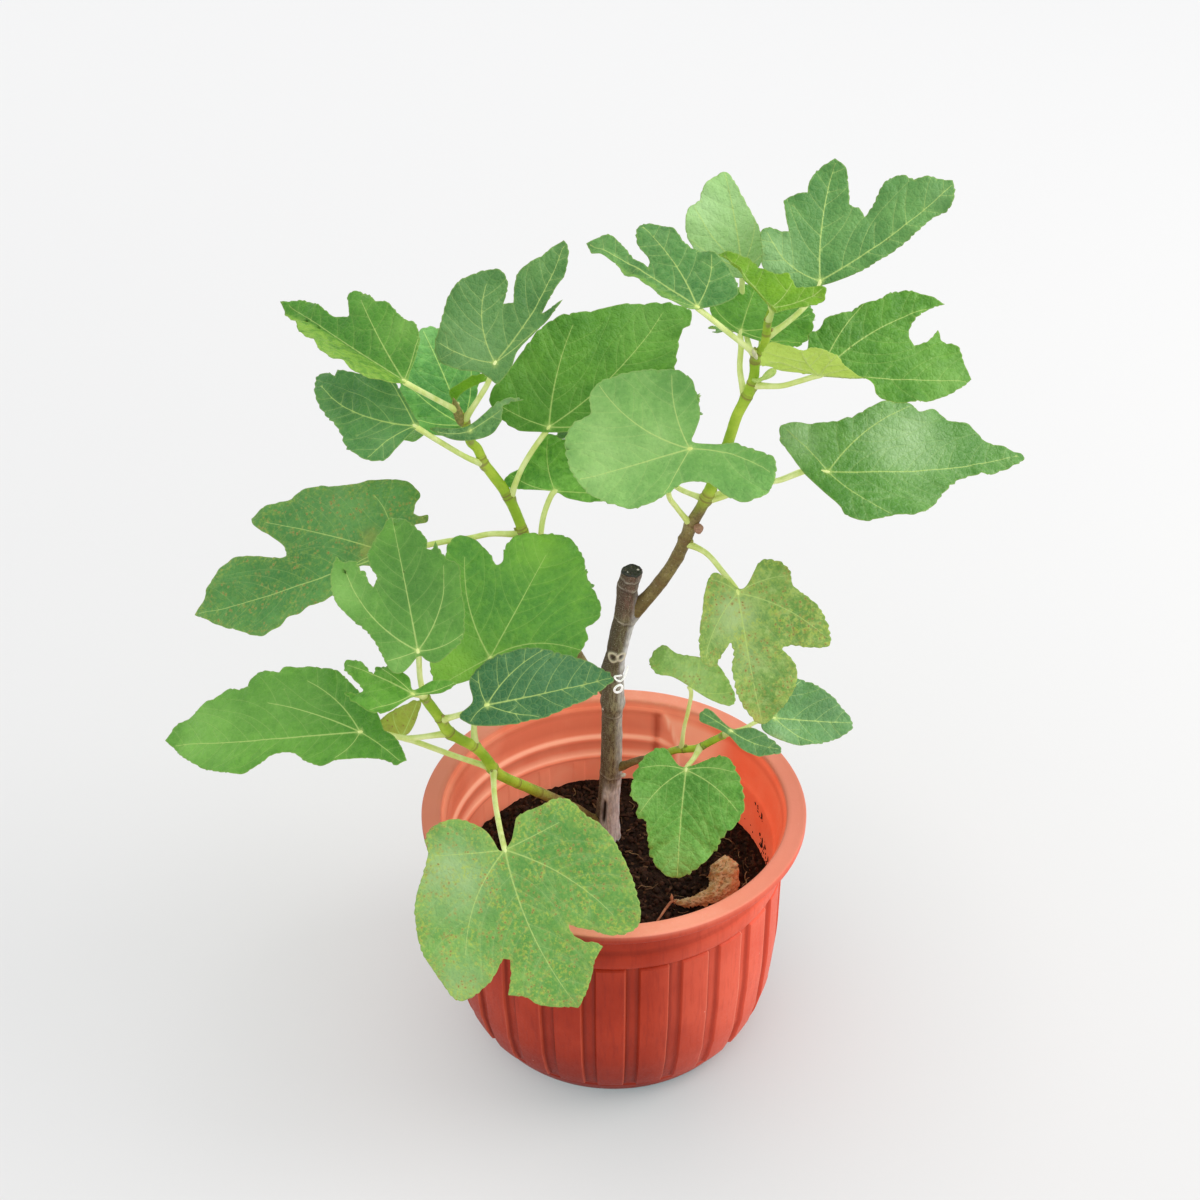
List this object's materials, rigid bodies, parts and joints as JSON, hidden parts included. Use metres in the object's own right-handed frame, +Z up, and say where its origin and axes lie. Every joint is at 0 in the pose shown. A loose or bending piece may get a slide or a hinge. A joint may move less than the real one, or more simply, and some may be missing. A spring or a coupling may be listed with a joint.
{
  "type": "potted fig tree",
  "caption": "Young fig tree with broad lobed leaves on slim boughs, in a round ribbed plastic pot with a turned-out lip.",
  "frame": {"origin": "centre of the flat underside of the pot", "axes": "+Z up along the pot's axis; +X to the right and +Y to the back of the plant as it is usually seen, from the front and above"},
  "size_m": [0.5906, 0.384, 0.6574],
  "materials": {
    "pot_plastic": "satin terracotta-coloured plastic",
    "potting_soil": "rough, damp",
    "old_bark": "rough bark",
    "young_bark": "smooth green bark",
    "leaf": "matt, slightly hairy",
    "dead_leaf": "dry, matt"
  },
  "bodies": {
    "root": {"pot": "pot_plastic", "soil": "potting_soil", "trunk": "old_bark", "bough_right": "young_bark", "bough_upper_left": "young_bark", "bough_lower_left": "young_bark", "shoot_low_right": "young_bark", "leaf_front_low": "leaf", "leaf_left_long": "leaf", "leaf_left_upright": "leaf", "leaf_left_inner": "leaf", "leaf_left_dark": "leaf", "leaf_left_young": "leaf", "leaf_left_folded_old": "leaf", "leaf_left_two_lobed": "leaf", "leaf_mid_upright": "leaf", "leaf_mid_keeled": "leaf", "leaf_mid_cupped": "leaf", "leaf_mid_low": "leaf", "leaf_mid_broad": "leaf", "leaf_mid_under": "leaf", "leaf_right_pale_front": "leaf", "leaf_right_diamond": "leaf", "leaf_right_keeled": "leaf", "leaf_top_upright": "leaf", "leaf_top_keeled": "leaf", "leaf_top_back": "leaf", "leaf_top_young": "leaf", "leaf_top_under": "leaf", "leaf_right_hanging": "leaf", "leaf_low_small": "leaf", "leaf_low_heart": "leaf", "leaf_low_young": "leaf", "leaf_low_right": "leaf", "leaf_mid_tip": "leaf", "leaf_mid_cupped_lobe": "leaf", "leaf_back_broad": "leaf", "leaf_back_low": "leaf", "leaf_back_left": "leaf", "leaf_back_top": "leaf", "leaf_back_right": "leaf", "fallen_leaf": "dead_leaf"}
  },
  "joints": []
}
